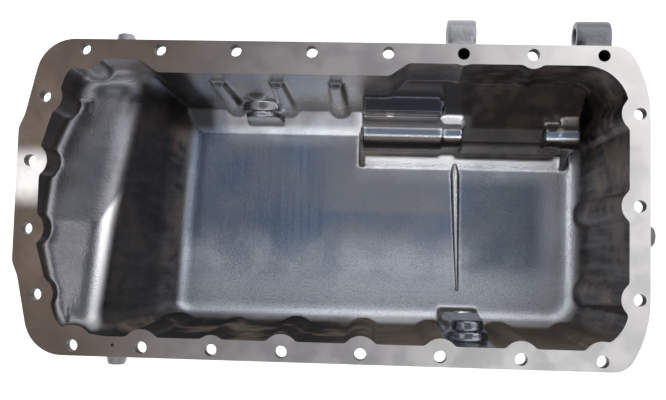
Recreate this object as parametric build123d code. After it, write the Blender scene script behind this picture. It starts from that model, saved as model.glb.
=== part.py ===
"""Die-cast aluminium engine oil pan with its drain plug and sealing washer.

Units are millimetres. +Z points up, out of the open mouth. The origin is on the flat
underside of the sump, below the middle of the four corner bolt holes. +X runs along the
engine, from the shallow end to the deep end. +Y is the rear side, which carries the lugs.
"""
from build123d import *
import math
import os

os.makedirs("parts", exist_ok=True)

# ---------------------------------------------------------------------------
# Driving dimensions
# ---------------------------------------------------------------------------
# Casting walls
wall = 5.0
floor_wall = 5.5
draft = 2.0
sump_depth = 123.0
floor_fillet = 16.0
tray_depth = 14.0
tray_crease_y = -17.0
tray_front_tilt = 6.8
tray_rear_tilt = 14.0
tray_fillet = 6.0
tray_end_x = -182.0
tray_end_y = 72.0

# Bolting flange
flange_thickness = 9.0
bolt_span_x = 355.0
bolt_span_y = 204.0
bolt_hole_d = 8.0
rim_outside = 6.8
rim_inside = 6.8
end_bolt_x = 201.4
end_bolt_pitch = 62.0
end_bolt_shift = 1.0
nose_bolt_x = -212.5
nose_bolt_span = 47.0
nose_rim = 9.0
heel_bolt_x = -204.0
heel_bolt_span = 136.5
front_pitch_left = 47.4
front_pitch_right = 53.2
rear_pitch = 52.5
rear_lug_pitch = 47.0

# Step between the shallow tray and the sump
step_foot_x = -132.6
step_slope = 77.0
step_skew = 3.0
step_top_radius = 18.0
step_foot_radius = 20.0

# Thickened rear wall with its three oil-return pillars
rear_inset = 9.0
rear_inset_left = -126.2
rear_inset_right = 33.5
rear_inset_ramp = 13.0
rear_foot_y = 61.8
rear_heel_radius = 12.0
pillar_x = -88.0
pillar_pitch = 42.0
pillar_count = 3
pillar_radius = 5.2
pillar_top_depth = 20.0
pillar_draft = 1.8

# Bracket bosses that stand into the sump at the rear
ledge_depth = 49.0
barrel_y = 59.5
barrel_depth = 84.0
long_barrel_radius = 13.0
short_barrel_radius = 11.0
spigot_radius = 9.6
long_barrel_x = 15.0
arm_left_x = 75.0
arm_left_width = 15.5
arm_right_x = 164.5
arm_right_width = 14.5
spigot_length = 11.0
recess_face_y = 45.0
recess_lip_depth = 104.0
bracket_foot_y = 35.3
foot_slope = 26.0

# Hinge lugs outside the rear wall
lug_y = 119.0
lug_depth = 16.0
lug_radius = 10.5
lug_bore_d = 10.5
lug_left_length = 20.0
lug_right_length = 24.0
lug_right_web = 5.0
lug_foot_depth = 48.0
lug_hole_depth = 38.0

# Tall boss on the front wall with the drain plug low in it, and the solid boss on the rear wall
drain_x = 95.5
drain_depth = 98.0
front_boss_x = 92.8
front_boss_depth = 42.0
front_boss_radius = 11.6
front_boss_end_y = 79.3
front_collar_radius = 14.8
front_collar_length = 6.3
front_foot_taper = 2.3
drain_seat_radius = 15.0
drain_seat_height = 3.0
rear_boss_x = -64.4
rear_boss_depth = 97.0
rear_boss_radius = 13.6
rear_boss_reach = 12.5
rear_collar_radius = 16.0
rear_collar_length = 7.5
rear_dome_radius = 10.0
plug_thread_d = 16.0
plug_head_flats = 19.0
plug_head_height = 7.0
plug_flange_d = 24.0
plug_flange_thickness = 2.5
plug_shank_length = 15.0
plug_tip_chamfer = 1.2
washer_d = 22.0
washer_clearance = 0.2
washer_thickness = 1.5
thread_clearance = 0.05

# Small outside bosses with tapped holes
side_boss_draft = 6.0
side_boss_root = 12.8
side_boss_round = 1.0
rear_side_boss_x = -154.3
rear_side_boss_tip = 6.2
rear_side_boss_reach = 8.5
front_side_boss_x = -151.5
front_side_boss_tip = 6.0
front_side_boss_reach = 7.5
front_side_boss_draft = 11.0
end_side_boss_y = -18.3
end_side_boss_tip = 7.1
end_side_boss_reach = 7.8
end_side_boss_round = 2.2
dimple_x = -149.3
dimple_y = -100.8
dimple_d = 2.2
dimple_depth = 1.5
side_boss_hole_d = 6.8
side_boss_hole_depth = 16.0
side_boss_depth = 19.0

# Ribs
floor_rib_head_x = 89.5
floor_rib_head_y = 44.0
floor_rib_tip_x = 92.6
floor_rib_tip_y = -61.0
floor_rib_width = 7.6
floor_rib_tip_width = 3.0
floor_rib_height = 4.5
gusset_thickness = 2.4
gusset_reach = 10.0

# ---------------------------------------------------------------------------
# Worked-out places
# ---------------------------------------------------------------------------
face_z = sump_depth + floor_wall
corner_x = bolt_span_x / 2
row_y = bolt_span_y / 2
mouth_y = row_y - rim_inside
mouth_right = end_bolt_x - rim_inside
mouth_left = nose_bolt_x + rim_inside
tan_draft = math.tan(math.radians(draft))
lift = 30.0
far = 400.0


def depth_z(depth):
    """Height of a point that lies depth below the flange face."""
    return face_z - depth


def rounded(corners):
    """Flat face through (x, y, radius) corners."""
    outline = make_face(Polyline(*[(x, y) for x, y, radius in corners], close=True))
    for x, y, radius in corners:
        if radius > 0:
            corner = outline.vertices().sort_by_distance((x, y, 0))[0]
            outline = fillet(corner, radius)
    return outline


def drafted(plan, top, bottom, angle):
    """Prism that hangs from height top down to bottom and narrows by angle."""
    return extrude(Plane.XY.offset(top) * plan, amount=bottom - top, taper=angle)


def prism_yz(points, x_low, x_high):
    """Prism along X with its section given as (y, z) points."""
    section = Plane.YZ.offset(x_low) * make_face(Polyline(*points, close=True))
    return extrude(section, amount=x_high - x_low)


def rod_x(y, z, radius, x_low, x_high):
    """Round bar along X."""
    return extrude(Plane.YZ.offset(x_low) * Pos(y, z) * Circle(radius), amount=x_high - x_low)



# ---------------------------------------------------------------------------
# Outlines
# ---------------------------------------------------------------------------
def hollow_outline(grow):
    """Plan of the pan's mouth, without the bolt pads, grown outwards by grow."""
    nose_half = nose_bolt_span / 2 + 9.5
    slant = 0.30
    left = mouth_left - grow
    top = mouth_y + grow
    right = mouth_right + grow
    heel = left + slant * (top - nose_half)
    corners = [
        (left, nose_half, 20.0 + grow),
        (heel, top, 22.0 + grow),
        (right, top, 30.0 + grow),
        (right, -top, 30.0 + grow),
        (heel, -top, 22.0 + grow),
        (left, -nose_half, 20.0 + grow),
    ]
    return rounded(corners)


def flange_outline():
    """Outside plan of the bolting flange."""
    top = row_y + rim_outside
    right = end_bolt_x + rim_outside
    nose = nose_bolt_x - nose_rim
    heel = nose + 4.2
    corners = [
        (nose, 46.0, 8.0),
        (heel, 56.0, 12.0),
        (heel + 11.5, top, 27.0),
        (right - 14.9, top, 15.0),
        (right, 81.5, 80.0),
        (right, -81.5, 80.0),
        (right - 14.9, -top, 15.0),
        (heel + 11.5, -top, 27.0),
        (heel, -56.0, 12.0),
        (nose, -46.0, 8.0),
    ]
    return rounded(corners)


# Bolt holes: (x, y, radius of the pad that stands into the mouth)
corner_bolts = [
    (-corner_x, row_y, 14.5),
    (corner_x, row_y, 8.9),
    (-corner_x, -row_y, 14.0),
    (corner_x, -row_y, 13.2),
]
front_left_bolts = [(-corner_x + front_pitch_left * k, -row_y, r) for k, r in ((1, 12.3), (2, 9.8), (3, 11.9))]
front_middle_x = front_left_bolts[-1][0]
front_right_bolts = [(front_middle_x + front_pitch_right * k, -row_y, 12.1) for k in (1, 2, 3)]
rear_bolts = [(-corner_x + rear_pitch * k, row_y, 0.0) for k in (1, 2, 3, 4)]
rear_lug_bolts = [(corner_x - rear_lug_pitch * k, row_y, r) for k, r in ((1, 9.6), (2, 8.0))]
end_bolts = [(end_bolt_x, end_bolt_shift + end_bolt_pitch * k, 12.2) for k in (-1, 0, 1)]
nose_bolts = [(nose_bolt_x, side * nose_bolt_span / 2, 12.0) for side in (-1, 1)]
heel_bolts = [(heel_bolt_x, side * heel_bolt_span / 2, 12.1) for side in (-1, 1)]
bolts = (
    corner_bolts + front_left_bolts + front_right_bolts + rear_bolts
    + rear_lug_bolts + end_bolts + nose_bolts + heel_bolts
)


# ---------------------------------------------------------------------------
# The bowl: the oil side is grow 0, the outside is grow wall
# ---------------------------------------------------------------------------
def step_corner(depth, grow):
    """X of the step's slope at a depth, for a surface that lies grow outside the oil side."""
    angle = math.radians(step_slope)
    return step_foot_x - (sump_depth - depth) / math.tan(angle) - grow / math.sin(angle)


def floor_block(grow):
    """Everything below the tilted tray, the step and the sump floor."""
    bottom = sump_depth + (floor_wall if grow else 0.0)
    above = -60.0
    corners = [
        (-far, depth_z(above), 0.0),
        (step_corner(above, grow), depth_z(above), 0.0),
        (step_corner(bottom, grow), depth_z(bottom), step_foot_radius + grow),
        (far, depth_z(bottom), 0.0),
        (far, -far, 0.0),
        (-far, -far, 0.0),
    ]
    section = Plane.XZ.offset(-far) * rounded(corners)
    block = Rot(0, 0, -step_skew) * extrude(section, amount=2 * far)
    over = Box(4 * far, 4 * far, 2 * far, align=(Align.CENTER, Align.CENTER, Align.MIN))
    brink = []
    for tilt in (tray_front_tilt, tray_rear_tilt):
        tray_z = depth_z(tray_depth) - grow / math.cos(math.radians(tilt))
        block -= Pos(0, tray_crease_y, tray_z) * Rot(-tilt, 0, 0) * over
    for side, tilt in ((-1, tray_front_tilt), (1, tray_rear_tilt)):
        y = tray_crease_y + side * 60.0
        depth = tray_depth + side * 60.0 * math.tan(math.radians(tilt)) + grow
        brink.append(block.edges().sort_by_distance((step_corner(depth, grow), y, depth_z(depth)))[0])
    return fillet(brink, step_top_radius - grow)


def open_edges(faces):
    """Edges that belong to only one of the faces."""
    seen = []
    for face in faces:
        for edge in face.edges():
            match = [other for other in seen if other[0].is_same(edge)]
            if match:
                match[0][1] += 1
            else:
                seen.append([edge, 1])
    return [edge for edge, count in seen if count == 1]


def low_faces(shape):
    """Faces that look up or down, without the top of the lifted plan."""
    return [face for face in shape.faces() if abs(face.normal_at().Z) > 0.2 and face.center().Z < face_z + lift - 1]


def bowl(grow):
    """Drafted hollow down to the tray and the sump floor, with rounded foot edges."""
    plan = hollow_outline(grow + lift * tan_draft)
    block = floor_block(grow)
    column = drafted(plan, face_z + lift, -20.0, draft)
    deep = column - block
    deep = fillet(open_edges(low_faces(deep)), floor_fillet + grow)
    y_high = tray_end_y + grow
    corner = Pos(tray_end_x, y_high) * Box(far, 2 * far, 2 * far, align=(Align.MAX, Align.MAX, Align.CENTER))
    tray = (column & corner) - block
    edges = [
        edge for edge in open_edges(low_faces(tray))
        if min(abs(edge.center().X - tray_end_x), abs(edge.center().Y - y_high)) > 0.01
    ]
    tray = fillet(edges, tray_fillet + grow)
    return deep + tray


# ---------------------------------------------------------------------------
# Metal that stands into the hollow
# ---------------------------------------------------------------------------
def pad_columns(grow):
    """Drafted columns below the bolt pads; the outside copy is the bolt-head recess."""
    columns = []
    length = sump_depth + 30.0
    for x, y, radius in bolts:
        if radius > grow + 6.0:
            top = radius - grow
            foot = top + length * tan_draft
            column = Cone(foot, top, length, align=(Align.CENTER, Align.CENTER, Align.MAX))
            columns.append(Pos(x, y, face_z) * column)
    return columns


def rear_wall_block(grow):
    """Thicker rear wall beside the rear bolts."""
    front = mouth_y - rear_inset + grow
    back = mouth_y + 60.0
    ramp = rear_inset_ramp * (back - front) / rear_inset
    corners = [
        (rear_inset_left, front, 4.0),
        (rear_inset_right, front, 4.0),
        (rear_inset_right + ramp, back, 0.0),
        (rear_inset_left - ramp, back, 0.0),
    ]
    return drafted(rounded(corners), face_z, -10.0, -draft)


def foot_ramp(foot_y, x_low, x_high):
    """Flat ramp that rises from the sump floor towards the rear."""
    floor_z = depth_z(sump_depth)
    rise = 45.0 * math.tan(math.radians(foot_slope))
    return prism_yz(
        [(foot_y, floor_z), (foot_y + 45.0, floor_z + rise), (foot_y + 45.0, -40.0), (foot_y, -40.0)],
        x_low,
        x_high,
    )


def pillars():
    """Half-round oil-return pillars on the rear wall."""
    top = depth_z(pillar_top_depth)
    length = sump_depth - pillar_top_depth + 3.0
    foot = pillar_radius + length * math.tan(math.radians(pillar_draft))
    pillar = Cone(foot, pillar_radius, length, align=(Align.CENTER, Align.CENTER, Align.MAX))
    axis_y = mouth_y - rear_inset - 1.5
    return [Pos(pillar_x + pillar_pitch * k, axis_y, top) * pillar for k in range(pillar_count)]


def ledge_section(drop):
    """Section (y, z) of the rear ledge in front of the long barrel; drop lowers it."""
    back = mouth_y + 40.0
    ledge_y = barrel_y + long_barrel_radius
    top = depth_z(ledge_depth) - drop
    return [
        (back, top + 3.0),
        (mouth_y - 3.0, top),
        (mouth_y - 11.0, top - 15.0),
        (ledge_y, top - 15.5),
        (ledge_y - 0.7, depth_z(barrel_depth)),
        (ledge_y - 0.7, -40.0),
        (back, -40.0),
    ]


def barrel_block(radius, x_low, x_high):
    """Round bar along X whose lower half runs straight down to the floor."""
    centre_z = depth_z(barrel_depth)
    bar = rod_x(barrel_y, centre_z, radius, x_low, x_high)
    skirt = prism_yz(
        [
            (barrel_y - radius, centre_z),
            (barrel_y + radius, centre_z),
            (barrel_y + radius + 20.0, -40.0),
            (barrel_y - radius, -40.0),
        ],
        x_low,
        x_high,
    )
    return bar + skirt


def recess_section(offset):
    """Section (y, z) of the bracket recess wall; offset moves it outwards."""
    back = mouth_y + 40.0
    high_y = mouth_y - 3.0
    low_y = recess_face_y + 1.0
    slope = math.atan2(recess_lip_depth - ledge_depth, high_y - low_y)
    high_y += offset / math.sin(slope)
    lip_y = low_y + offset
    lip_z = depth_z(ledge_depth) - (high_y - lip_y) * math.tan(slope)
    return [
        (back, depth_z(ledge_depth) + (back - high_y) * 0.1),
        (high_y, depth_z(ledge_depth)),
        (lip_y, lip_z),
        (lip_y - 2.0, -40.0),
        (back, -40.0),
    ]


def arm_section(rise):
    """Section (y, z) of the inner column that joins a hinge arm to its barrel."""
    back = mouth_y + 40.0
    return [
        (back, depth_z(ledge_depth) + 4.0 + rise),
        (mouth_y - 3.0, depth_z(ledge_depth) + rise),
        (barrel_y + short_barrel_radius + 2.0, depth_z(barrel_depth) + short_barrel_radius + rise),
        (barrel_y, depth_z(barrel_depth) + short_barrel_radius - 4.0),
        (barrel_y, -40.0),
        (back, -40.0),
    ]


def gusset(x):
    """Thin web from a barrel down to the sump floor."""
    return prism_yz(
        [
            (barrel_y + 4.0, depth_z(barrel_depth - 6.0)),
            (barrel_y - long_barrel_radius - gusset_reach, depth_z(sump_depth)),
            (barrel_y - long_barrel_radius - gusset_reach, -40.0),
            (barrel_y + 4.0, -40.0),
        ],
        x - gusset_thickness / 2,
        x + gusset_thickness / 2,
    )


def floor_rib():
    """Long rounded rib that tapers to a point across the sump floor."""
    floor_z = depth_z(sump_depth)
    half = floor_rib_width / 2
    shoulder_y = floor_rib_head_y - 11.0
    plan = make_face(
        Polyline(
            (floor_rib_head_x - 0.6, floor_rib_head_y),
            (floor_rib_head_x - half, shoulder_y),
            (floor_rib_tip_x - floor_rib_tip_width / 2, floor_rib_tip_y),
            (floor_rib_tip_x + floor_rib_tip_width / 2, floor_rib_tip_y),
            (floor_rib_head_x + half, shoulder_y),
            close=True,
        )
    )
    return extrude(Plane.XY.offset(floor_z - 1.0) * plan, amount=floor_rib_height + 1.0, taper=28)


def wall_rod(x, depth, side, radius, y_low, y_high):
    """Round bar along Y on one side of the pan, between two distances from the middle."""
    base = Plane((x, side * y_low, depth_z(depth)), x_dir=(1, 0, 0), z_dir=(0, side, 0))
    return extrude(base * Circle(radius), amount=y_high - y_low)


def front_boss(wall_y):
    """Tall boss on the front wall: bar and collar near the rim, on a drafted block from the floor."""
    centre_z = depth_z(front_boss_depth)
    floor_z = depth_z(sump_depth)
    buried_y = wall_y + 12.0
    bar = wall_rod(front_boss_x, front_boss_depth, -1, front_boss_radius, front_boss_end_y, buried_y)
    collar_y = wall_y - front_collar_length
    collar = wall_rod(front_boss_x, front_boss_depth, -1, front_collar_radius, collar_y, buried_y)
    spread = (centre_z - floor_z) * math.tan(math.radians(front_foot_taper))
    width = 2 * (front_boss_radius + spread)
    length = buried_y - front_boss_end_y + 2 * spread
    plan = Pos(front_boss_x, spread - front_boss_end_y - length / 2) * Rectangle(width, length)
    foot = extrude(Plane.XY.offset(floor_z) * plan, amount=centre_z - floor_z, taper=front_foot_taper)
    below = extrude(Plane.XY.offset(floor_z) * plan, amount=-20.0)
    return bar + collar + foot + below


def rear_boss(wall_y):
    """Solid boss on the rear wall: bar, collar, straight foot and a small dome above."""
    end_y = wall_y - rear_boss_reach
    bar = wall_rod(rear_boss_x, rear_boss_depth, 1, rear_boss_radius, end_y, wall_y + 12.0)
    collar_y = wall_y - rear_collar_length
    collar = wall_rod(rear_boss_x, rear_boss_depth, 1, rear_collar_radius, collar_y, wall_y + 12.0)
    foot_plan = Pos(rear_boss_x, end_y + 15.0) * Rectangle(2 * rear_boss_radius, 30.0)
    foot = extrude(Plane.XY.offset(depth_z(rear_boss_depth)) * foot_plan, amount=-60.0)
    dome = Pos(rear_boss_x - 1.0, wall_y + 6.0, depth_z(rear_boss_depth - 33.0)) * Sphere(rear_dome_radius)
    return [bar, collar, foot, dome]


def drain_axis(face_y):
    """Work plane on the outside seat of the drain plug, with its normal pointing outwards."""
    return Plane((drain_x, -face_y, depth_z(drain_depth)), x_dir=(1, 0, 0), z_dir=(0, -1, 0))


def lug_arm(x_low, x_high):
    """Web outside the wall that carries a hinge lug."""
    lug_z = depth_z(lug_depth)
    foot_y = row_y
    foot_z = depth_z(lug_foot_depth)
    gap_y = lug_y - foot_y
    gap_z = lug_z - foot_z
    distance = math.hypot(gap_y, gap_z)
    lean = math.atan2(gap_y, gap_z) + math.asin(lug_radius / distance)
    reach = math.sqrt(distance**2 - lug_radius**2)
    tangent = (foot_y + reach * math.sin(lean), foot_z + reach * math.cos(lean))
    back_y = mouth_y - 4.0
    return prism_yz(
        [
            (back_y, lug_z + lug_radius),
            (lug_y, lug_z + lug_radius),
            (lug_y, lug_z),
            tangent,
            (foot_y, foot_z),
            (back_y, foot_z - (foot_y - back_y) / math.tan(lean)),
        ],
        x_low,
        x_high,
    )


def side_boss(x, y, direction, tip_radius, reach, angle=side_boss_draft, tip_round=side_boss_round):
    """Tapered boss with a blind tapped hole, standing reach outside a rim point."""
    tip = (x + direction[0] * reach, y + direction[1] * reach, depth_z(side_boss_depth))
    end = Plane(tip, z_dir=(direction[0], direction[1], 0))
    boss = extrude(end * Circle(tip_radius), amount=-reach - side_boss_root, taper=-angle)
    rings = boss.edges().filter_by(GeomType.CIRCLE)
    boss = fillet(rings.sort_by(lambda edge: (edge.arc_center - end.origin).length)[0], tip_round)
    hole = extrude(end * Circle(side_boss_hole_d / 2), amount=-side_boss_hole_depth)
    return boss, hole


# ---------------------------------------------------------------------------
# Oil side
# ---------------------------------------------------------------------------
arm_left_end = arm_left_x + arm_left_width
arm_right_end = arm_right_x + arm_right_width
hollow = bowl(0.0)
for column in pad_columns(0.0):
    hollow -= column
hollow -= rear_wall_block(0.0)
hollow -= foot_ramp(rear_foot_y, -far / 2, long_barrel_x + 4.0)
for pillar in pillars():
    hollow -= pillar
hollow -= prism_yz(ledge_section(0.0), long_barrel_x, arm_left_x)
hollow -= barrel_block(long_barrel_radius, long_barrel_x, arm_left_x)
hollow -= barrel_block(short_barrel_radius, arm_left_x - 1, arm_left_end)
hollow -= prism_yz(arm_section(0.0), arm_left_x - 1, arm_left_end)
hollow -= prism_yz(recess_section(0.0), arm_left_end - 1, arm_right_x + 1)
hollow -= barrel_block(spigot_radius, arm_right_x - spigot_length, arm_right_x + 1)
hollow -= barrel_block(short_barrel_radius, arm_right_x, arm_right_end)
hollow -= prism_yz(arm_section(0.0), arm_right_x, arm_right_end)
hollow -= foot_ramp(bracket_foot_y, long_barrel_x, arm_right_end)
hollow -= gusset(long_barrel_x - 1.0)
hollow -= gusset(arm_right_end - 4.0)
hollow -= floor_rib()
rear_boss_wall_y = mouth_y - rear_inset - rear_boss_depth * tan_draft
drain_wall_y = mouth_y - drain_depth * tan_draft
hollow -= front_boss(mouth_y - front_boss_depth * tan_draft)
for lump in rear_boss(rear_boss_wall_y):
    hollow -= lump

# ---------------------------------------------------------------------------
# Outside and flange
# ---------------------------------------------------------------------------
body = bowl(wall)
for column in pad_columns(wall - 0.3):
    body -= column
body -= rear_wall_block(wall)
heel_y = mouth_y - rear_inset + wall - face_z * tan_draft
heel = body.edges().sort_by_distance(((rear_inset_left + rear_inset_right) / 2, heel_y, 0))[0]
body = fillet(heel, rear_heel_radius)
bay_low = arm_left_end + wall
bay_high = arm_right_x - spigot_length - wall
body -= prism_yz(recess_section(wall), bay_low, bay_high)
pocket_low = long_barrel_x + wall
pocket_high = arm_left_x - wall
ledge_z = depth_z(ledge_depth)
body -= prism_yz(
    [
        (mouth_y + 40.0, ledge_z - 2.0),
        (mouth_y + wall - 1.5, ledge_z - 2.0),
        (mouth_y - 7.0, ledge_z - 15.5 - wall),
        (barrel_y + long_barrel_radius + wall, ledge_z - 15.5 - wall),
        (barrel_y + long_barrel_radius + wall, depth_z(barrel_depth) - long_barrel_radius - wall),
        (barrel_y - long_barrel_radius + wall, depth_z(barrel_depth) - long_barrel_radius - wall),
        (barrel_y - long_barrel_radius + wall, -40.0),
        (mouth_y + 40.0, -40.0),
    ],
    pocket_low,
    pocket_high,
)
flange = extrude(Plane.XY.offset(face_z) * flange_outline(), amount=-flange_thickness)
casting = flange + (body & Pos(0, 0, face_z / 2) * Box(2 * far, 2 * far, face_z))
lug_z = depth_z(lug_depth)
lug_left_mid = arm_left_x + arm_left_width / 2
lug_right_mid = arm_right_x + arm_right_width / 2 + 0.9
for middle, length, low, high in (
    (lug_left_mid, lug_left_length, arm_left_x, arm_left_end),
    (lug_right_mid, lug_right_length, arm_right_x, arm_right_end + lug_right_web),
):
    casting += lug_arm(low, high)
    casting += rod_x(lug_y, lug_z, lug_radius, middle - length / 2, middle + length / 2)
rim_y = row_y + rim_outside
rim_x = end_bolt_x + rim_outside
bosses = [
    side_boss(rear_side_boss_x, rim_y, (0, 1), rear_side_boss_tip, rear_side_boss_reach),
    side_boss(
        front_side_boss_x, -rim_y, (0, -1), front_side_boss_tip, front_side_boss_reach, angle=front_side_boss_draft
    ),
    side_boss(rim_x, end_side_boss_y, (1, 0), end_side_boss_tip, end_side_boss_reach, tip_round=end_side_boss_round),
]
for boss, hole in bosses:
    casting += boss
drain_seat_y = drain_wall_y + wall + drain_seat_height
casting += extrude(drain_axis(drain_seat_y) * Circle(drain_seat_radius), amount=-drain_seat_height - wall + 1.0)
casting -= hollow

# ---------------------------------------------------------------------------
# Holes
# ---------------------------------------------------------------------------
for x, y, radius in bolts:
    length = flange_thickness + 3.0
    if y == row_y and x in (rear_lug_bolts[1][0], corner_x):
        length = lug_hole_depth
    casting -= Pos(x, y, face_z) * Cylinder(bolt_hole_d / 2, length, align=(Align.CENTER, Align.CENTER, Align.MAX))
casting -= rod_x(lug_y, lug_z, lug_bore_d / 2, arm_left_x - 10.0, arm_right_end + 15.0)
for boss, hole in bosses:
    casting -= hole
bore = plug_thread_d / 2 + thread_clearance
casting -= extrude(drain_axis(drain_seat_y) * Circle(bore), amount=-60.0)
casting -= Pos(dimple_x, dimple_y, face_z) * Cylinder(dimple_d / 2, 2 * dimple_depth)
export_step(casting, "parts/pan_casting.step")


# ---------------------------------------------------------------------------
# Drain plug and washer
# ---------------------------------------------------------------------------
ring = Circle(washer_d / 2) - Circle(plug_thread_d / 2 + washer_clearance)
washer = extrude(drain_axis(drain_seat_y) * ring, amount=washer_thickness)
export_step(washer, "parts/drain_washer.step")

seat = drain_axis(drain_seat_y + washer_thickness)
head = extrude(seat * RegularPolygon(plug_head_flats / 2, 6, major_radius=False), amount=plug_head_height)
head_top = Plane(seat.origin + seat.z_dir * plug_head_height, x_dir=seat.x_dir, z_dir=-seat.z_dir)
head = head & extrude(head_top * Circle(plug_head_flats / 2 * 1.02), amount=plug_head_height, taper=-30)
collar = extrude(seat * Circle(plug_flange_d / 2), amount=plug_flange_thickness)
shank = extrude(seat * Circle(plug_thread_d / 2), amount=-plug_shank_length)
rings = shank.edges().filter_by(GeomType.CIRCLE)
tip = rings.sort_by(lambda edge: (edge.arc_center - seat.origin).length)[-1]
plug = head + collar + chamfer(tip, plug_tip_chamfer)
export_step(plug, "parts/drain_plug.step")
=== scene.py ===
import math

import bmesh
import bpy
from mathutils import Euler, Matrix, Vector


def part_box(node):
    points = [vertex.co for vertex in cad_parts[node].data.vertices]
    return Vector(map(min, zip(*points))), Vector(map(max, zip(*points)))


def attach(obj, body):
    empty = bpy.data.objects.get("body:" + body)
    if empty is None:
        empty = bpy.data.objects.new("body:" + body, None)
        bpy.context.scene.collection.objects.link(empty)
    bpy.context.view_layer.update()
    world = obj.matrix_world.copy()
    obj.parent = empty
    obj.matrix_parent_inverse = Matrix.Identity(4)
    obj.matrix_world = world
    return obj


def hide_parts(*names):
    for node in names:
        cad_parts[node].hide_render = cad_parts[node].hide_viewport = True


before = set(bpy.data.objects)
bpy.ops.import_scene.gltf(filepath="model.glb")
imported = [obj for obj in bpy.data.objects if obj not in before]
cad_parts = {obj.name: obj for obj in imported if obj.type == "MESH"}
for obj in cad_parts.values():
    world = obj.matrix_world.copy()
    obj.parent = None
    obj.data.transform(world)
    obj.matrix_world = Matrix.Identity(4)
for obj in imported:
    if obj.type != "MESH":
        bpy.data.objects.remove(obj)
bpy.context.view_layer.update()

# ---------------------------------------------------------------------------
# Pan casting
# One pressure die casting in aluminium, dark with old oil inside. Its skin and edges are
# soft, as cast; the rim face and the bolt holes are machined afterwards, so they are crisp.
# ---------------------------------------------------------------------------
casting_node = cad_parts["pan_casting"]
rim_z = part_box("pan_casting")[1][2]
rim_thickness = 0.009
machining_stock = 0.005
flatness = 0.00002

# Bolt holes: a row in front and one behind, three at the deep end and four at the shallow end.
# Two of the rear row go on down into the arms of the lugs.
bolt_hole_radius = 0.0041
bolt_hole_depth = 0.0125
deep_hole_depth = 0.038
bolt_row_y = 0.102
corner_x = 0.1775
front_middle_x = -0.0353
front_left_pitch, front_right_pitch = 0.0474, 0.0532
rear_left_pitch, rear_right_pitch = 0.0525, 0.047
deep_end_x, deep_end_middle_y, deep_end_pitch = 0.2014, 0.001, 0.062
nose_x, nose_half_pitch = -0.2125, 0.0235
heel_x, heel_half_pitch = -0.204, 0.06825
front_bolt_x = [-corner_x + front_left_pitch * k for k in range(4)]
front_bolt_x += [front_middle_x + front_right_pitch * k for k in (1, 2, 3, 4)]
rear_bolt_x = [-corner_x + rear_left_pitch * k for k in range(5)]
rear_bolt_x += [corner_x - rear_right_pitch * k for k in (2, 1, 0)]
bolt_places = [(x, -bolt_row_y) for x in front_bolt_x] + [(x, bolt_row_y) for x in rear_bolt_x]
bolt_places += [(deep_end_x, deep_end_middle_y + deep_end_pitch * k) for k in (-1, 0, 1)]
bolt_places += [(nose_x, side * nose_half_pitch) for side in (-1, 1)]
bolt_places += [(heel_x, side * heel_half_pitch) for side in (-1, 1)]
deep_places = [(rear_bolt_x[-3], bolt_row_y), (rear_bolt_x[-1], bolt_row_y)]


def add_pin(mesh, x, y, radius, low, high):
    """Closed round pin in a bmesh, standing along Z."""
    place = Matrix.Translation((x, y, (low + high) / 2))
    bmesh.ops.create_cone(
        mesh, cap_ends=True, segments=40, radius1=radius, radius2=radius, depth=high - low, matrix=place
    )


def object_from(mesh, name):
    """New object in the scene that takes its mesh from a bmesh."""
    data = bpy.data.meshes.new(name)
    mesh.to_mesh(data)
    mesh.free()
    made = bpy.data.objects.new(name, data)
    bpy.context.scene.collection.objects.link(made)
    return made


def bake_modifiers(piece):
    """Puts the result of a piece's modifiers into its mesh."""
    depsgraph = bpy.context.evaluated_depsgraph_get()
    baked = bpy.data.meshes.new_from_object(piece.evaluated_get(depsgraph))
    piece.modifiers.clear()
    old = piece.data
    piece.data = baked
    bpy.data.meshes.remove(old)


def join_or_cut(piece, operation, tool):
    """Joins a tool to a piece, or cuts the piece with it, and removes the tool."""
    change = piece.modifiers.new(tool.name, "BOOLEAN")
    change.operation = operation
    change.solver = "EXACT"
    change.object = tool
    bake_modifiers(piece)
    bpy.data.objects.remove(tool)


# As cast: stock stands on the rim face, and metal fills the places of the bolt holes.
fill_radius = 0.0046
fill_above_underside = 0.0004
deep_fill_radius = 0.0062
deep_fill_margin = 0.001
rough = bmesh.new()
rough.from_mesh(casting_node.data)
for vert in rough.verts:
    if vert.co.z > rim_z - flatness:
        vert.co.z += machining_stock
for x, y in bolt_places:
    add_pin(rough, x, y, fill_radius, rim_z - rim_thickness + fill_above_underside, rim_z + machining_stock)
    if (x, y) in deep_places:
        add_pin(rough, x, y, deep_fill_radius, rim_z - deep_hole_depth - deep_fill_margin, rim_z)
casting = object_from(rough, "soft_casting")
skin = casting.modifiers.new("skin", "REMESH")
skin.mode = "VOXEL"
skin.voxel_size = 0.0012
soft = casting.modifiers.new("soft_edges", "SMOOTH")
soft.iterations = 7
soft.factor = 0.5
bake_modifiers(casting)

# Machined: the stock comes off the rim face. The mesh is then thinned out.
triangle_budget = 175000
cut = bmesh.new()
cut.from_mesh(casting.data)
bmesh.ops.bisect_plane(
    cut, geom=cut.verts[:] + cut.edges[:] + cut.faces[:], plane_co=(0, 0, rim_z), plane_no=(0, 0, 1),
    clear_outer=True, dist=0.000001
)
rim_edges = [edge for edge in cut.edges if edge.is_boundary]
bmesh.ops.triangle_fill(cut, use_beauty=True, use_dissolve=False, edges=rim_edges, normal=(0, 0, 1))
bmesh.ops.triangulate(cut, faces=cut.faces[:])
cut.to_mesh(casting.data)
cut.free()
thin = casting.modifiers.new("fewer_faces", "DECIMATE")
thin.ratio = min(1.0, triangle_budget / len(casting.data.polygons))
bake_modifiers(casting)

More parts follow.
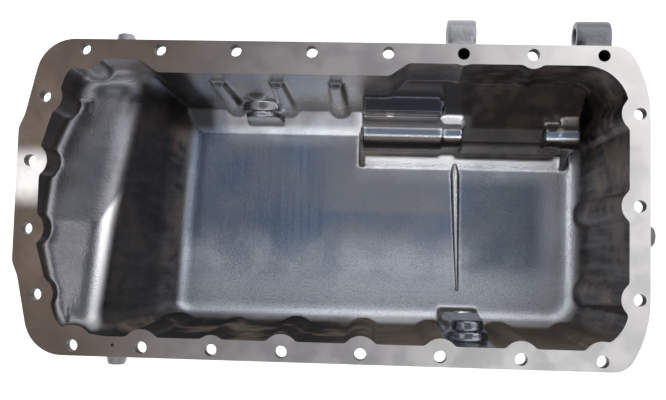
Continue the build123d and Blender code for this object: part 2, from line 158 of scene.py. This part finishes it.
# The floor rib is crisp: a rounded ridge from a blunt head to a thin tip. A station gives its
# place along Y and X, half of its width and its height over the foot.
rib_stations = (
    (0.0445, 0.0892, 0.0006, 0.0012),
    (0.0400, 0.0893, 0.0024, 0.0034),
    (0.0330, 0.0895, 0.0036, 0.0046),
    (0.0200, 0.0899, 0.0034, 0.0046),
    (-0.0300, 0.0914, 0.0021, 0.0036),
    (-0.0610, 0.0924, 0.0008, 0.0020),
)
rib_foot_z = 0.0054
rib_root_z = 0.0030
arch_steps = 8
rib_mesh = bmesh.new()
rib_rings = []
for y, x, half_width, height in rib_stations:
    ring = []
    for step in range(arch_steps + 1):
        turn = math.pi * step / arch_steps
        across, up = half_width * math.cos(turn), height * math.sin(turn)
        ring.append(rib_mesh.verts.new((x - across, y, rib_foot_z + up)))
    ring.append(rib_mesh.verts.new((x + half_width, y, rib_root_z)))
    ring.append(rib_mesh.verts.new((x - half_width, y, rib_root_z)))
    rib_rings.append(ring)
for first, second in zip(rib_rings, rib_rings[1:]):
    for k in range(len(first)):
        after = (k + 1) % len(first)
        rib_mesh.faces.new((first[k], first[after], second[after], second[k]))
rib_mesh.faces.new(rib_rings[0][::-1])
rib_mesh.faces.new(rib_rings[-1])
bmesh.ops.recalc_face_normals(rib_mesh, faces=rib_mesh.faces[:])
join_or_cut(casting, "UNION", object_from(rib_mesh, "floor_rib"))

# Machined: the bolt holes are drilled, and a small dimple marks the front rim.
dimple_place = (-0.1493, -0.1008)
dimple_radius = 0.0011
dimple_depth = 0.0015
drill_above_rim = 0.002
crease_angle = math.radians(38)
drill_mesh = bmesh.new()
for place in bolt_places:
    depth = deep_hole_depth if place in deep_places else bolt_hole_depth
    add_pin(drill_mesh, *place, bolt_hole_radius, rim_z - depth, rim_z + drill_above_rim)
add_pin(drill_mesh, *dimple_place, dimple_radius, rim_z - dimple_depth, rim_z + drill_above_rim)
join_or_cut(casting, "DIFFERENCE", object_from(drill_mesh, "drill"))
casting.data.shade_smooth()
casting.data.set_sharp_from_angle(angle=crease_angle)
even = casting.modifiers.new("flat_faces_stay_flat", "WEIGHTED_NORMAL")
even.mode = "FACE_AREA"
even.keep_sharp = True
bake_modifiers(casting)
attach(casting, "root")
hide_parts("pan_casting")


def add_node(tree, kind, **settings):
    """New shader node with some of its settings changed."""
    made = tree.nodes.new(kind)
    for key, value in settings.items():
        setattr(made, key, value)
    return made


def feed(tree, socket, value):
    """Gives a socket a plain value or the output of another node."""
    if isinstance(value, bpy.types.NodeSocket):
        tree.links.new(value, socket)
    else:
        socket.default_value = value


# A Mix node takes its numbers at inputs 2 and 3, and its colours at inputs 6 and 7.
def mix_colour(tree, factor, first, second):
    """Colour that goes from first to second as factor goes from 0 to 1."""
    mix = add_node(tree, "ShaderNodeMix", data_type="RGBA")
    feed(tree, mix.inputs[0], factor)
    feed(tree, mix.inputs[6], first)
    feed(tree, mix.inputs[7], second)
    return mix.outputs[2]


def mix_number(tree, factor, first, second):
    """Number that goes from first to second as factor goes from 0 to 1."""
    mix = add_node(tree, "ShaderNodeMix")
    feed(tree, mix.inputs[0], factor)
    feed(tree, mix.inputs[2], first)
    feed(tree, mix.inputs[3], second)
    return mix.outputs[0]


def layered(tree, base, *layers):
    """Base colour with more colours laid over it in turn, each through its own mask."""
    for mask, colour in layers:
        base = mix_colour(tree, mask, base, colour)
    return base


def calculate(tree, operation, first, second):
    """Result of one Math node, kept between 0 and 1."""
    result = add_node(tree, "ShaderNodeMath", operation=operation, use_clamp=True)
    feed(tree, result.inputs[0], first)
    feed(tree, result.inputs[1], second)
    return result.outputs[0]


def product(tree, first, *others):
    """Mask that is the product of several masks or shares."""
    for other in others:
        first = calculate(tree, "MULTIPLY", first, other)
    return first


def shifted(tree, operation, number, mask, amount):
    """Number with an amount added or subtracted as far as a mask covers it."""
    return calculate(tree, operation, number, product(tree, mask, amount))


def ramp(tree, value, start, end, low=0.0, high=1.0):
    """Smooth change from low to high as value goes from start to end."""
    change = add_node(tree, "ShaderNodeMapRange", interpolation_type="SMOOTHSTEP")
    feed(tree, change.inputs["Value"], value)
    for name, number in (("From Min", start), ("From Max", end), ("To Min", low), ("To Max", high)):
        feed(tree, change.inputs[name], number)
    return change.outputs["Result"]


def band(tree, value, start, full, fading, end):
    """Mask that rises from start to full and falls again from fading to end."""
    return product(tree, ramp(tree, value, start, full), ramp(tree, value, end, fading))


def part_of(tree, source, axis):
    """One coordinate of a vector output."""
    split = add_node(tree, "ShaderNodeSeparateXYZ")
    feed(tree, split.inputs[0], source)
    return split.outputs[axis]


def slanted(tree, first, slope, second):
    """First coordinate times a slope, plus the second one."""
    line = add_node(tree, "ShaderNodeMath", operation="MULTIPLY_ADD")
    feed(tree, line.inputs[0], first)
    feed(tree, line.inputs[1], slope)
    feed(tree, line.inputs[2], second)
    return line.outputs[0]


# Stains and specks: a group that gives patches of one size as a mask.
patches_group = bpy.data.node_groups.new("stain_patches", "ShaderNodeTree")
patches_group.interface.new_socket(name="Stretch", in_out="INPUT", socket_type="NodeSocketVector")
for label in ("Per Metre", "Detail", "Start", "End"):
    patches_group.interface.new_socket(name=label, in_out="INPUT", socket_type="NodeSocketFloat")
patches_group.interface.new_socket(name="Mask", in_out="OUTPUT", socket_type="NodeSocketFloat")
into = add_node(patches_group, "NodeGroupInput")
out = add_node(patches_group, "NodeGroupOutput")
point = add_node(patches_group, "ShaderNodeTexCoord")
stretch_node = add_node(patches_group, "ShaderNodeVectorMath", operation="MULTIPLY")
noise = add_node(patches_group, "ShaderNodeTexNoise")
feed(patches_group, stretch_node.inputs[0], point.outputs["Object"])
feed(patches_group, stretch_node.inputs[1], into.outputs["Stretch"])
feed(patches_group, noise.inputs["Vector"], stretch_node.outputs[0])
feed(patches_group, noise.inputs["Scale"], into.outputs["Per Metre"])
feed(patches_group, noise.inputs["Detail"], into.outputs["Detail"])
feed(patches_group, noise.inputs["Roughness"], 0.6)
patches_mask = ramp(patches_group, noise.outputs["Fac"], into.outputs["Start"], into.outputs["End"])
feed(patches_group, out.inputs["Mask"], patches_mask)


def patches(tree, per_metre, start, end, detail=3.0, stretch=(1.0, 1.0, 1.0)):
    """Mask of stains about one over per_metre across."""
    group = add_node(tree, "ShaderNodeGroup", node_tree=patches_group)
    values = {"Stretch": stretch, "Per Metre": per_metre, "Detail": detail, "Start": start, "End": end}
    for label, value in values.items():
        feed(tree, group.inputs[label], value)
    return group.outputs["Mask"]


def new_metal(name):
    """Empty metal finish: its material, its node tree and its shader."""
    metal = bpy.data.materials.new(name)
    metal.use_nodes = True
    return metal, metal.node_tree, metal.node_tree.nodes["Principled BSDF"]


def add_grain(tree, shader, strength, distance, per_metre, detail):
    """Fine grain of a cast skin, as a bump."""
    grain = add_node(tree, "ShaderNodeBump")
    feed(tree, grain.inputs["Strength"], strength)
    feed(tree, grain.inputs["Distance"], distance)
    feed(tree, grain.inputs["Height"], patches(tree, per_metre, 0.2, 0.8, detail))
    feed(tree, shader.inputs["Normal"], grain.outputs["Normal"])


# Oil side: bluish where it lies flat, nearly black on the steep walls.
oil_side, tree, shader = new_metal("oil_side_skin")
where = add_node(tree, "ShaderNodeTexCoord").outputs["Object"]
facing = add_node(tree, "ShaderNodeNewGeometry").outputs["Normal"]
at_x, at_y, at_z = (part_of(tree, where, axis) for axis in "XYZ")
to_x, to_y, to_z = (part_of(tree, facing, axis) for axis in "XYZ")
cloudy = patches(tree, 12.0, 0.30, 0.72)
blotchy = patches(tree, 30.0, 0.30, 0.72)
rusty = patches(tree, 22.0, 0.45, 0.66)

# Where things are on the casting, each as a mask.
steep = ramp(tree, to_z, 0.86, 0.40)
on_floor = ramp(tree, at_z, 0.0105, 0.0068)
on_tray = product(tree, ramp(tree, at_z, 0.085, 0.095), ramp(tree, at_x, -0.110, -0.122))
past_barrel_start = ramp(tree, at_x, 0.004, 0.016)
along_barrels = band(tree, at_x, 0.0, 0.010, 0.182, 0.186)
above_ledge = ramp(tree, at_z, 0.046, 0.050)
in_recess = product(tree, ramp(tree, at_x, 0.094, 0.100), ramp(tree, at_y, 0.045, 0.052))
recess_floor = product(tree, in_recess, ramp(tree, at_y, 0.0630, 0.0650))
on_shelf = product(tree, ramp(tree, at_z, 0.052, 0.058), ramp(tree, at_y, 0.070, 0.073))
on_pillar = product(tree, ramp(tree, at_z, 0.098, 0.102), ramp(tree, at_x, 0.010, 0.004))
# Painted shadow in the rear corner at the step.
corner_shadow = product(tree, band(tree, at_x, -0.142, -0.136, -0.112, -0.102), ramp(tree, at_y, 0.056, 0.070))
on_boss = product(tree, ramp(tree, at_y, -0.066, -0.070), ramp(tree, at_z, 0.030, 0.040))
boss_side = product(tree, band(tree, at_x, 0.072, 0.076, 0.106, 0.110), on_boss)

# Sump floor: blue film with long scour marks and brown stains, grey behind the middle, with a
# pale dried film in front that becomes a painted highlight towards the front wall. It is darker towards the
# step, with a painted highlight at the foot of the ramps and another on the floor's foot at the deep end.
towards_step = ramp(tree, at_x, -0.03, -0.10, 0.0, 0.80)
past_rib = ramp(tree, at_x, 0.080, 0.115, 0.0, 0.75)
# Painted highlight: near white on the floor's foot at the deep end.
painted_deep_end_foot_highlight = ramp(tree, at_x, 0.150, 0.170, 0.0, 0.85)
darkened = ramp(tree, at_x, 0.03, -0.08, 0.08, 0.38)
scour = product(
    tree, patches(tree, 300.0, 0.40, 0.70, 2.0, (1.0, 0.04, 1.0)), ramp(tree, at_x, 0.04, -0.08, 0.10, 0.45)
)
greyed = product(
    tree, ramp(tree, at_y, -0.004, 0.004), ramp(tree, at_x, -0.030, 0.0),
    ramp(tree, at_x, 0.095, 0.080, 0.0, 0.75)
)
dried_in_patches = product(
    tree, ramp(tree, at_y, -0.002, -0.050), ramp(tree, blotchy, 0.0, 1.0, 0.55, 1.0),
    ramp(tree, at_x, 0.13, 0.08, 0.35, 1.0)
)
# Pale dried film: real patches, plus a painted highlight that grows towards the front wall.
dried_film_and_highlight = calculate(tree, "MAXIMUM", dried_in_patches, ramp(tree, at_y, -0.025, -0.070))
specks = product(tree, patches(tree, 1050.0, 0.50, 0.64, 2.0), ramp(tree, dried_film_and_highlight, 0.0, 1.0, 0.10, 0.90))
pits = product(tree, patches(tree, 820.0, 0.54, 0.64, 2.0), ramp(tree, dried_film_and_highlight, 0.0, 1.0, 0.15, 0.38))
# Painted highlight: pale floor at the foot of the ramps.
ramp_foot = mix_number(
    tree, past_barrel_start, ramp(tree, at_y, 0.048, 0.065), ramp(tree, at_y, 0.020, 0.035)
)
painted_ramp_foot_highlight = product(
    tree, ramp_foot, ramp(tree, blotchy, 0.0, 1.0, 0.75, 0.35), ramp(tree, at_x, -0.104, -0.085)
)
floor_colour = layered(
    tree, mix_colour(tree, cloudy, (0.25, 0.36, 0.54, 1), (0.38, 0.42, 0.50, 1)),
    (towards_step, (0.14, 0.18, 0.26, 1)),
    (past_rib, (0.15, 0.20, 0.24, 1)),
    (painted_deep_end_foot_highlight, (0.90, 0.90, 0.95, 1)),
    (scour, (0.13, 0.17, 0.24, 1)),
    (product(tree, blotchy, 0.45), (0.40, 0.37, 0.37, 1)),
    (greyed, (0.50, 0.48, 0.48, 1)),
    (ramp(tree, dried_film_and_highlight, 0.0, 1.0, 0.0, 0.88), (0.88, 0.90, 0.96, 1)),
    (specks, (1.0, 1.0, 1.0, 1)),
    (pits, (0.24, 0.30, 0.40, 1)),
    (darkened, (0.04, 0.06, 0.10, 1)),
    (painted_ramp_foot_highlight, (0.72, 0.72, 0.74, 1)),
)

# Ramps and bosses: a painted highlight in front of the long barrel, painted shade at the foot of the step,
# and dark on the shelf behind the barrel, the pillar tops, the recess floor and the front boss.
# Painted highlight: white in front of the long barrel.
painted_highlight_before_barrel = mix_colour(tree, blotchy, (1.0, 1.0, 1.0, 1), (0.88, 0.88, 0.90, 1))
past_long_barrel = ramp(tree, at_x, 0.088, 0.110, 0.0, 0.35)
# Painted shade: darker in the crease at the foot of the step.
painted_step_foot_shade = ramp(tree, at_x, -0.092, -0.100)
flat_colour = layered(
    tree, mix_colour(tree, blotchy, (0.42, 0.42, 0.46, 1), (0.25, 0.24, 0.25, 1)),
    (past_barrel_start, painted_highlight_before_barrel),
    (past_long_barrel, (0.45, 0.47, 0.52, 1)),
    (painted_step_foot_shade, (0.20, 0.21, 0.24, 1)),
    (on_shelf, (0.075, 0.080, 0.095, 1)),
    (on_pillar, (0.12, 0.12, 0.13, 1)),
    (recess_floor, (0.26, 0.23, 0.21, 1)),
    (on_boss, (0.22, 0.23, 0.26, 1)),
)

# Tray: warm grey, lighter in front, with a painted highlight along the brink up to a slanting line.
tray_front = ramp(tree, at_y, 0.03, -0.02, 0.0, 0.5)
# Painted highlight on the brink, cut off along a slanting line.
before_line = ramp(tree, slanted(tree, at_x, -2.0, at_y), 0.320, 0.312)
painted_brink_highlight = product(tree, before_line, ramp(tree, at_x, -0.172, -0.160))
tray_colour = layered(
    tree, mix_colour(tree, blotchy, (0.245, 0.245, 0.265, 1), (0.16, 0.16, 0.175, 1)),
    (tray_front, (0.24, 0.235, 0.245, 1)),
    (painted_brink_highlight, (1.0, 1.0, 1.0, 1)),
)
flat_colour = layered(tree, flat_colour, (on_floor, floor_colour), (on_tray, tray_colour))

# Steep walls: dark with streaks that run down and brown in places. The rear wall, where it faces
# the front lamp, and the wall over the long barrel are lighter as painted light; the front wall and the step
# are darker as painted shade, the recess is darker, and the sides of the front boss are bare.
streaks = patches(tree, 160.0, 0.35, 0.70, 3.0, (1.0, 1.0, 0.08))
# Painted light: the rear wall is lighter where it faces the front lamp, with rust tints.
on_rear_wall = product(tree, ramp(tree, to_y, -0.35, -0.75), ramp(tree, at_x, 0.024, 0.006))
lit_and_rusty_rear_wall = mix_colour(tree, rusty, (1.0, 1.0, 1.0, 1), (0.95, 0.88, 0.84, 1))
# Painted highlight: warm light on the wall over the long barrel, with rust tints.
over_barrel = product(
    tree, ramp(tree, to_y, -0.30, -0.60), band(tree, at_x, 0.006, 0.024, 0.084, 0.094),
    ramp(tree, at_z, 0.120, 0.105)
)
highlight_and_rust_over_barrel = mix_colour(tree, rusty, (0.30, 0.28, 0.28, 1), (0.58, 0.46, 0.38, 1))
# Painted shade: the front wall is nearly black to the left, with brown stains to the right.
on_front_wall = ramp(tree, to_y, 0.55, 0.85)
shaded_and_stained_front_wall = mix_colour(tree, ramp(tree, at_x, -0.02, 0.05), (0.045, 0.042, 0.042, 1), (0.16, 0.13, 0.11, 1))
shaded_and_stained_front_wall = layered(tree, shaded_and_stained_front_wall, (rusty, (0.20, 0.16, 0.13, 1)))
# Painted shade: the step face is nearly black.
step_shade = product(tree, ramp(tree, to_x, 0.45, 0.85), ramp(tree, at_z, 0.016, 0.045))
mould = mix_colour(
    tree, patches(tree, 70.0, 0.42, 0.62, 4.0), (0.065, 0.058, 0.056, 1), (0.38, 0.30, 0.25, 1)
)
wall_colour = layered(
    tree, mix_colour(tree, streaks, (0.13, 0.115, 0.112, 1), (0.28, 0.26, 0.25, 1)),
    (rusty, (0.42, 0.34, 0.28, 1)),
    (product(tree, on_rear_wall, 0.9), lit_and_rusty_rear_wall),
    (over_barrel, highlight_and_rust_over_barrel),
    (on_front_wall, shaded_and_stained_front_wall),
    (product(tree, step_shade, 0.8), (0.040, 0.036, 0.036, 1)),
    (product(tree, in_recess, 0.85), mould),
    (boss_side, (0.19, 0.20, 0.225, 1)),
)

# Last come a painted shadow, black, in the rear corner at the step, dark brown on the lower front sides of
# the two barrels, a painted reflection, a blue line along their tops, and a painted highlight, white, behind
# the long one.
dark_barrel_fronts = product(
    tree, band(tree, at_y, 0.040, 0.044, 0.0545, 0.0560), ramp(tree, at_z, 0.030, 0.036), along_barrels
)
# Painted reflection: a blue line along the tops of the barrels.
painted_blue_reflection = product(tree, band(tree, at_y, 0.0560, 0.0570, 0.0600, 0.0612), above_ledge, along_barrels)
# Painted highlight: white, dull and rough behind the long barrel.
painted_barrel_highlight = product(
    tree, band(tree, at_y, 0.0612, 0.0630, 0.0684, 0.0700), above_ledge,
    band(tree, at_x, 0.008, 0.016, 0.090, 0.094)
)
skin_colour = layered(
    tree, mix_colour(tree, steep, flat_colour, wall_colour),
    (product(tree, corner_shadow, 0.85), (0.02, 0.018, 0.018, 1)),
    (dark_barrel_fronts, (0.10, 0.088, 0.080, 1)),
    (painted_blue_reflection, (0.34, 0.40, 0.50, 1)),
    (painted_barrel_highlight, (0.95, 0.94, 0.94, 1)),
)
feed(tree, shader.inputs["Base Color"], skin_colour)

# The painted highlight behind the long barrel, and the front wall with its painted shade, don't shine like
# bare metal.
shaded_front_wall_dull = product(
    tree, ramp(tree, to_y, 0.35, 0.75), ramp(tree, at_y, -0.060, -0.070),
    calculate(tree, "SUBTRACT", 1.0, boss_side), ramp(tree, at_x, 0.02, 0.12, 1.0, 0.85)
)
metallic = shifted(tree, "SUBTRACT", 0.92, painted_barrel_highlight, 0.60)
metallic = shifted(tree, "SUBTRACT", metallic, shaded_front_wall_dull, 0.90)
feed(tree, shader.inputs["Metallic"], metallic)
feed(tree, shader.inputs["Specular IOR Level"], 0.0)

# Gloss: dull on the walls, in the dried film, in the painted highlight behind the long barrel and low on the
# rear ramps, glossy on the front boss.
behind = product(tree, ramp(tree, at_y, 0.028, 0.040), ramp(tree, at_z, 0.036, 0.030))
behind = calculate(tree, "SUBTRACT", behind, on_floor)
dull_wall = product(tree, steep, ramp(tree, to_y, -0.60, 0.10))
roughness = ramp(tree, cloudy, 0.0, 1.0, 0.22, 0.28)
roughness = shifted(tree, "ADD", roughness, product(tree, dried_film_and_highlight, on_floor), 0.14)
roughness = shifted(tree, "ADD", roughness, behind, 0.14)
roughness = shifted(tree, "ADD", roughness, dull_wall, 0.28)
roughness = shifted(tree, "ADD", roughness, painted_barrel_highlight, 0.20)
roughness = shifted(tree, "SUBTRACT", roughness, boss_side, 0.26)
feed(tree, shader.inputs["Roughness"], roughness)
add_grain(tree, shader, 0.25, 0.0004, 700.0, 3.0)

# Outside: dry grey skin, duller and cleaner than the oil side, and darker at the deep end.
dry_skin, tree, shader = new_metal("outside_skin")
where = add_node(tree, "ShaderNodeTexCoord").outputs["Object"]
smudge = patches(tree, 14.0, 0.45, 0.68)
at_deep_end = ramp(tree, part_of(tree, where, "X"), 0.110, 0.125, 0.0, 0.6)
skin_colour = layered(
    tree, mix_colour(tree, smudge, (0.36, 0.36, 0.37, 1), (0.275, 0.262, 0.255, 1)),
    (at_deep_end, (0.10, 0.10, 0.11, 1)),
)
feed(tree, shader.inputs["Base Color"], skin_colour)
feed(tree, shader.inputs["Metallic"], 0.9)
feed(tree, shader.inputs["Roughness"], ramp(tree, smudge, 0.0, 1.0, 0.42, 0.55))
add_grain(tree, shader, 0.35, 0.0005, 500.0, 4.0)

# Rim face: fine-milled, with a painted reflection that is bright at the deep end and brown towards
# the shallow end, and a painted highlight in the middle of the shallow end.
milled, tree, shader = new_metal("machined_rim")
where = add_node(tree, "ShaderNodeTexCoord").outputs["Object"]
at_x, at_y = (part_of(tree, where, axis) for axis in "XY")
# Painted reflection: bright at the deep end, then grey, then brown at the shallow end.
along = slanted(tree, at_y, -0.22, at_x)
mottled = patches(tree, 36.0, 0.30, 0.70)
bright = mix_colour(tree, mottled, (0.93, 0.89, 0.85, 1), (0.87, 0.83, 0.79, 1))
grey = mix_colour(tree, mottled, (0.52, 0.480, 0.475, 1), (0.47, 0.435, 0.43, 1))
brown = mix_colour(tree, mottled, (0.185, 0.142, 0.117, 1), (0.155, 0.115, 0.092, 1))
# Painted highlight in the middle of the shallow end.
painted_rim_highlight = product(tree, band(tree, at_y, -0.012, 0.006, 0.022, 0.036), ramp(tree, at_x, -0.19, -0.205))
rim_colour = layered(
    tree, bright,
    (ramp(tree, along, 0.14, 0.0), grey),
    (ramp(tree, along, 0.0, -0.17), brown),
    (painted_rim_highlight, (1.0, 0.93, 0.88, 1)),
)
feed(tree, shader.inputs["Base Color"], rim_colour)
feed(tree, shader.inputs["Metallic"], 0.95)
feed(tree, shader.inputs["Roughness"], ramp(tree, patches(tree, 60.0, 0.3, 0.7), 0.0, 1.0, 0.34, 0.44))

# Bolt holes: bare bores, dark.
bore, tree, shader = new_metal("dark_bore")
bore_colour = mix_colour(tree, patches(tree, 300.0, 0.4, 0.6), (0.05, 0.045, 0.04, 1), (0.12, 0.10, 0.09, 1))
feed(tree, shader.inputs["Base Color"], bore_colour)
feed(tree, shader.inputs["Metallic"], 0.7)
feed(tree, shader.inputs["Roughness"], 0.5)

# A face is outside when it looks down, looks away from the core of the pan, or lies on the outer
# edge of the rim. The last three values are parts of a face's direction, from -1 to 1.
core_low_x, core_high_x, core_half_y = -0.13, 0.14, 0.04
edge_low_x, edge_high_x, edge_half_y = -0.2125, 0.2, 0.1015
hole_reach = 0.0044
dimple_reach = 0.0022
hole_bottoms_z = rim_z - 0.02
bore_wall_up = 0.3
underside_up = -0.25
outside_inward = -0.15


def finish_of(face):
    """The finish that a face of the casting has."""
    centre = face.center
    if centre.z > rim_z - flatness:
        return milled
    near_hole = min((centre.x - x) ** 2 + (centre.y - y) ** 2 for x, y in bolt_places) < hole_reach ** 2
    near_dimple = (centre - Vector((*dimple_place, rim_z))).length < dimple_reach
    if near_dimple or (near_hole and (abs(face.normal.z) < bore_wall_up or centre.z < hole_bottoms_z)):
        return bore
    core_x = min(max(centre.x, core_low_x), core_high_x)
    core_y = min(max(centre.y, -core_half_y), core_half_y)
    inward = (Vector((core_x, core_y, centre.z)) - centre).normalized()
    looks_out = face.normal.z < underside_up or face.normal.dot(inward) < outside_inward
    if looks_out or abs(centre.y) > edge_half_y or not edge_low_x <= centre.x <= edge_high_x:
        return dry_skin
    return oil_side


finishes = [oil_side, dry_skin, milled, bore]
casting.data.materials.clear()
for metal in finishes:
    casting.data.materials.append(metal)
for face in casting.data.polygons:
    face.material_index = finishes.index(finish_of(face))

# ---------------------------------------------------------------------------
# Drain washer and drain plug
# A turned aluminium sealing ring, and a zinc-plated steel plug with a hexagon head, which
# screws into the boss at the front of the sump and squeezes the ring against its seat.
# ---------------------------------------------------------------------------
turned, tree, shader = new_metal("turned_washer")
ring_colour = mix_colour(tree, patches(tree, 300.0, 0.4, 0.6), (0.70, 0.71, 0.73, 1), (0.55, 0.55, 0.56, 1))
feed(tree, shader.inputs["Base Color"], ring_colour)
feed(tree, shader.inputs["Metallic"], 0.95)
feed(tree, shader.inputs["Roughness"], ramp(tree, patches(tree, 500.0, 0.3, 0.7), 0.0, 1.0, 0.25, 0.4))

zinc, tree, shader = new_metal("zinc_plating")
zinc_colour = mix_colour(tree, patches(tree, 120.0, 0.45, 0.62), (0.55, 0.56, 0.58, 1), (0.34, 0.32, 0.30, 1))
feed(tree, shader.inputs["Base Color"], zinc_colour)
feed(tree, shader.inputs["Metallic"], 0.9)
feed(tree, shader.inputs["Roughness"], ramp(tree, patches(tree, 260.0, 0.3, 0.7), 0.0, 1.0, 0.3, 0.45))

for name, metal in (("drain_washer", turned), ("drain_plug", zinc)):
    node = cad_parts[name]
    node.data.materials.clear()
    node.data.materials.append(metal)

# ---------------------------------------------------------------------------
# Studio
# White paper under the pan, a softbox on each of its four sides, a dim blue-grey room, and the
# camera, which looks almost straight down into the sump.
# ---------------------------------------------------------------------------
floor_half = 4.0
below_pan = 0.0002
floor_mesh = bpy.data.meshes.new("studio_floor")
floor_corners = [(x * floor_half, y * floor_half, 0) for x, y in ((-1, -1), (1, -1), (1, 1), (-1, 1))]
floor_mesh.from_pydata(floor_corners, [], [(0, 1, 2, 3)])
floor = bpy.data.objects.new("studio_floor", floor_mesh)
bpy.context.scene.collection.objects.link(floor)
floor.location.z = -below_pan

# The paper glows only where it is seen straight or mirrored, so it stays white in a render but
# casts no light of its own.
paper = bpy.data.materials.new("white_paper")
paper.use_nodes = True
tree = paper.node_tree
shader = tree.nodes["Principled BSDF"]
feed(tree, shader.inputs["Base Color"], (0.80, 0.80, 0.80, 1))
feed(tree, shader.inputs["Roughness"], 0.9)
feed(tree, shader.inputs["Emission Color"], (1, 1, 1, 1))
rays = add_node(tree, "ShaderNodeLightPath").outputs
seen = calculate(tree, "MAXIMUM", rays["Is Camera Ray"], rays["Is Glossy Ray"])
seen = calculate(tree, "MAXIMUM", seen, rays["Is Transmission Ray"])
feed(tree, shader.inputs["Emission Strength"], product(tree, seen, 0.85))
floor.data.materials.append(paper)

world = bpy.data.worlds.new("studio_world")
bpy.context.scene.world = world
world.use_nodes = True
room = world.node_tree.nodes["Background"]
feed(world.node_tree, room.inputs["Color"], (0.29, 0.31, 0.345, 1))
feed(world.node_tree, room.inputs["Strength"], 1.0)
pan_middle = Vector((0, 0, 0.06))


def add_softbox(name, azimuth, zenith, distance, width, height, radiance):
    """Rectangular softbox that looks at the pan. Its azimuth runs from +X towards +Y, and its
    zenith angle from straight up, both in degrees."""
    lamp = bpy.data.lights.new(name, "AREA")
    lamp.shape = "RECTANGLE"
    lamp.size = width
    lamp.size_y = height
    lamp.energy = radiance * math.pi * width * height
    flat, up = math.radians(azimuth), math.radians(zenith)
    aim = Vector((math.cos(flat) * math.sin(up), math.sin(flat) * math.sin(up), math.cos(up)))
    box = bpy.data.objects.new(name, lamp)
    box.location = aim * distance + pan_middle
    box.rotation_euler = aim.to_track_quat("Z", "Y").to_euler()
    bpy.context.scene.collection.objects.link(box)


add_softbox("front_softbox", -90, 42, distance=1.4, width=2.4, height=0.62, radiance=1.6)
add_softbox("rear_softbox", 60, 50, distance=1.5, width=2.4, height=1.3, radiance=1.15)
add_softbox("deep_end_softbox", -5, 55, distance=1.5, width=1.4, height=1.5, radiance=0.75)
add_softbox("shallow_end_softbox", 170, 30, distance=1.4, width=0.6, height=0.40, radiance=1.5)

# The camera's focal length is given in pixels of a render of this width.
render_width = 666
focal_pixels = 870
camera_tilt_degrees = (4.0493, 2.7338, 1.4887)
camera_data = bpy.data.cameras.new("camera")
camera_data.sensor_width = 36.0
camera_data.lens = camera_data.sensor_width * focal_pixels / render_width
camera = bpy.data.objects.new("camera", camera_data)
camera_place = Vector((0.02621, -0.04009, rim_z + 0.58495))
camera_tilt = Euler([math.radians(angle) for angle in camera_tilt_degrees])
camera.matrix_world = Matrix.LocRotScale(camera_place, camera_tilt, None)
bpy.context.scene.collection.objects.link(camera)
bpy.context.scene.camera = camera
bpy.context.scene.view_settings.view_transform = "Standard"
